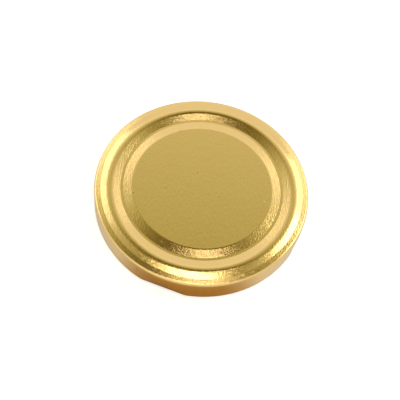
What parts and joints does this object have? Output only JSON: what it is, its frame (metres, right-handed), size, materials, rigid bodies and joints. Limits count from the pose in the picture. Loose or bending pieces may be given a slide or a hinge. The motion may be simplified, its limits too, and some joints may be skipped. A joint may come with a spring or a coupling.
{
  "type": "twist-off jar cap",
  "caption": "Round gold-lacquered tinplate twist-off cap with a raised ring round a flat centre panel, plain skirt, rolled edge with inward lugs, and a sealing ring inside.",
  "frame": {"origin": "centre of the circle that the rolled edge stands on, on the cap's axis", "axes": "+Z along the cap's axis, from the open side towards the panel; a lug lies on each of +X, +Y, -X and -Y"},
  "size_m": [0.0694, 0.0694, 0.01],
  "materials": {
    "lacquered_tinplate": "transparent gold lacquer on bright tinplate, glossy",
    "sealing_compound": "off-white soft sealing compound, satin"
  },
  "bodies": {
    "root": {"cap_shell": "lacquered_tinplate", "sealing_gasket": "sealing_compound"}
  },
  "joints": []
}
